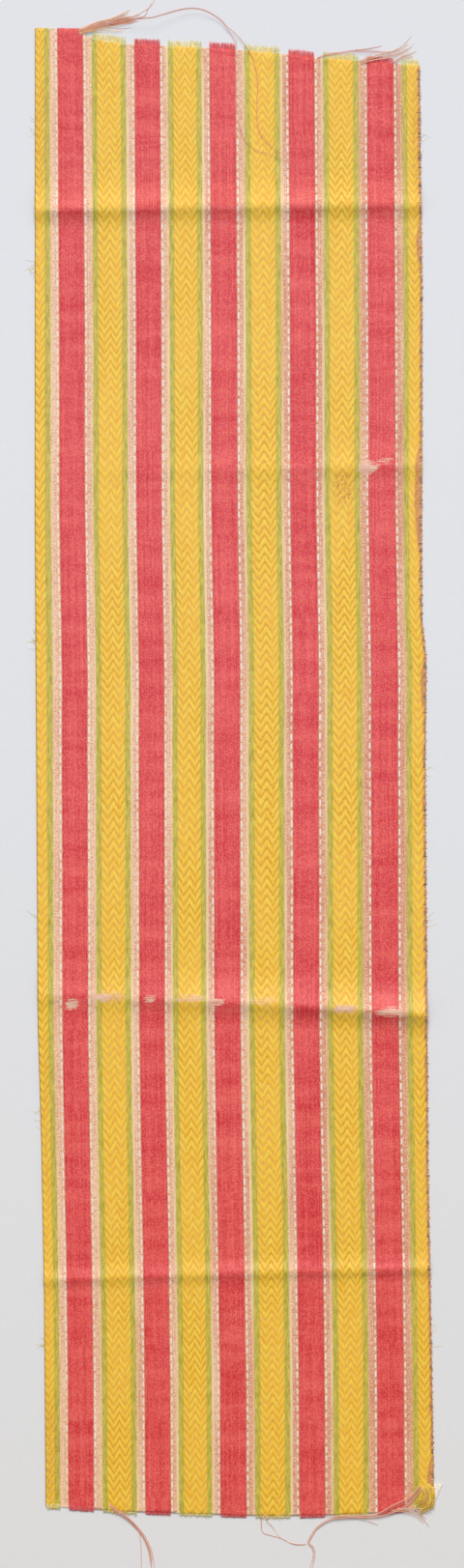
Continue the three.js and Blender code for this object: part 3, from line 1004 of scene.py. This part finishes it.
def one_warp_end(strands, end, place, length, radius):
    """A warp end that comes out of the cut edge and sinks a little."""
    edge_y = end["edge"][0][1] if place < RIGHT_PLACES else end["edge"][-1][1]
    x = float(across(np.array([place]), np.array([float(edge_y)]))[0])
    y = float(value_at(end["edge"], x))
    lean = rng.normal(0, 0.2) * length / 3
    steps = np.linspace(0, 1, len(WARP_TAPER))
    xs = x + lean * steps**2
    ys = y + end["outward"] * (-WARP_ROOT + (WARP_ROOT + length) * steps)
    zs = np.interp(steps, [0, 0.4, 1], [TOP_SIDE - 0.12, TOP_SIDE - 0.1, rng.uniform(0.3, 0.6)])
    radii = radius * rng.uniform(0.85, 1.15) * WARP_TAPER
    tints = WARP_TINTS[warp_name(place)]
    strands.add(np.column_stack([xs, ys, zs]), radii, tints[rng.integers(len(tints))], sides=4)


# Fine hairs that stand out from the selvages, as [side, y, hairs].
FUZZ = [
    [-1, 262, 9], [-1, 335, 5], [-1, 68, 12], [-1, -78, 5], [-1, -178, 6], [-1, -295, 8],
    [1, 327, 5], [1, 3, 5], [1, -79, 4], [1, -292, 6],
]
HAIR_LENGTHS = (2, 6)
HAIR_RADIUS = 0.07
HAIR_TINTS = [STRAW, LIME, SILK_CREAM]
# Turns of worn weft along the right selvage.
STUB_STEP = 1.1
STUB_ROWS = (-376, 364)
STUB_ROOT = 1.4  # length of a turn on the cloth
STUB_REACH = 0.7
STUB_RADII = (0.12, 0.24)
STUB_TINTS = [NOTCH, WORN_SELVAGE, WEFT, SALMON_PALE, STRAW]


def hair(strands, side, y):
    """A hair that stands out from a selvage and sinks to the table."""
    start_y = y + rng.normal(0, 3)
    edge = value_at(RIGHT_EDGE if side > 0 else LEFT_EDGE, start_y)
    length = rng.uniform(*HAIR_LENGTHS)
    turn = rng.normal(0, 0.7)
    steps = np.linspace(0, 1, 7)
    xs = edge - side + side * (length + 1) * steps * np.cos(turn * steps)
    ys = start_y + length * np.sin(turn) * steps + rng.normal(0, 1) * steps**2
    zs = np.interp(steps, [0, 0.2, 1], [0.6, 0.5, 0.15])
    radii = HAIR_RADIUS * (1 - 0.5 * steps)
    tint = HAIR_TINTS[rng.integers(len(HAIR_TINTS))]
    strands.add(np.column_stack([xs, ys, zs]), radii, tint, sides=4)


def stub(strands, start_y):
    """A short turn of weft over the right selvage."""
    y = start_y + rng.normal(0, 0.5)
    edge = float(value_at(RIGHT_EDGE, y))
    reach = rng.uniform(0, STUB_REACH)
    steps = np.linspace(0, 1, 5)
    xs = edge - STUB_ROOT + (STUB_ROOT + reach) * np.sin(steps * math.pi / 2)
    ys = y + rng.normal(0, 0.4) * steps
    lift = float(fold_height(np.array(edge), np.array(y)))
    zs = lift + np.interp(steps, [0, 0.6, 1], [TOP_SIDE + 0.1, TOP_SIDE, 0.3])
    tint = STUB_TINTS[rng.integers(len(STUB_TINTS))]
    strands.add(np.column_stack([xs, ys, zs]), rng.uniform(*STUB_RADII), tint, sides=4)


def selvage_threads(name, material):
    """Hairs of broken silk along both selvages and the worn turns of weft at the right one."""
    strands = Strands()
    for side, y, hairs in FUZZ:
        for _ in range(hairs):
            hair(strands, side, y)
    for start_y in np.arange(*STUB_ROWS, STUB_STEP):
        stub(strands, start_y)
    return strands.piece(name, material)


# Setting

PHOTO_SCALE = 0.5  # millimetres to a photo pixel
PHOTO_SIZE = (480, 1623)
LOOK_AT = (-0.543, -5.746)
TURN = 0.0073
CAMERA_HEIGHT = 2.4
SENSOR = 36
FLOOR_HALF = 2.5
FLOOR_GRAIN = 300
FLOOR_DARK = (0.80, 0.795, 0.765, 1)
FLOOR_PALE = (0.83, 0.825, 0.795, 1)
ROOM = {"colour": (1, 0.965, 0.93, 1), "strength": 0.4}
SUN = {"energy": 1.98, "colour": (1, 0.935, 0.87), "elevation": 42, "azimuth": 180, "softness": 30}
WINDOW = {"energy": 3.4, "colour": (0.36, 0.58, 1), "place": (0, 0.3, 1), "size": 0.6}


def add_camera():
    data = bpy.data.cameras.new("camera")
    data.sensor_width = SENSOR
    data.lens = SENSOR * CAMERA_HEIGHT / (PHOTO_SIZE[1] * PHOTO_SCALE * MM)
    camera = bpy.data.objects.new("camera", data)
    x, y, _ = metres([*LOOK_AT, 0])
    camera.location = (x, y, CAMERA_HEIGHT)
    camera.rotation_euler = (0, 0, -TURN)
    bpy.context.scene.collection.objects.link(camera)
    bpy.context.scene.camera = camera


def add_sun(name, energy, colour, elevation, azimuth, softness):
    data = bpy.data.lights.new(name, "SUN")
    data.energy = energy
    data.color = colour
    data.angle = math.radians(softness)
    light = bpy.data.objects.new(name, data)
    light.rotation_euler = (math.radians(90 - elevation), 0, math.radians(azimuth))
    bpy.context.scene.collection.objects.link(light)


def add_window(name, energy, colour, place, size):
    """A square of soft light that faces straight down."""
    data = bpy.data.lights.new(name, "AREA")
    data.energy = energy
    data.color = colour
    data.size = size
    light = bpy.data.objects.new(name, data)
    light.location = place
    light.visible_camera = False
    bpy.context.scene.collection.objects.link(light)


def add_floor():
    half = FLOOR_HALF
    mesh = bpy.data.meshes.new("floor")
    corners = [(-half, -half, 0), (half, -half, 0), (half, half, 0), (-half, half, 0)]
    mesh.from_pydata(corners, [], [(0, 1, 2, 3)])
    s = Shader("pale_paper")
    s.put(s.surface.inputs["Base Color"], s.mix(s.grain(FLOOR_GRAIN), FLOOR_DARK, FLOOR_PALE))
    s.surface.inputs["Roughness"].default_value = 0.9
    mesh.materials.append(s.material)
    floor = bpy.data.objects.new("floor", mesh)
    bpy.context.scene.collection.objects.link(floor)


def add_lights():
    world = bpy.data.worlds.new("soft_room")
    world.use_nodes = True
    background = world.node_tree.nodes["Background"]
    background.inputs["Color"].default_value = ROOM["colour"]
    background.inputs["Strength"].default_value = ROOM["strength"]
    bpy.context.scene.world = world
    add_sun("daylight", **SUN)
    add_window("window", **WINDOW)
    bpy.context.scene.view_settings.view_transform = "Standard"


add_camera()
add_floor()
add_lights()

weave = weave_material()
frayed = thread_material("frayed_silk", 0.5)
cloth = cloth_piece(weave)
top_ends = warp_ends("top_warp_ends", TOP_WARP, frayed)
bottom_ends = warp_ends("bottom_warp_ends", BOTTOM_WARP, frayed)
top_threads = loose_threads("top_loose_threads", TOP_THREADS, frayed)
bottom_threads = loose_threads("bottom_loose_threads", BOTTOM_THREADS, frayed, CREAM_TUFT)
side_threads = selvage_threads("selvage_threads", frayed)

extras = [top_ends, bottom_ends, top_threads, bottom_threads, side_threads]
for piece in [cloth, *extras]:
    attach(piece, "root")
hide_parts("cloth")
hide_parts("top_fringe")
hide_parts("bottom_fringe")
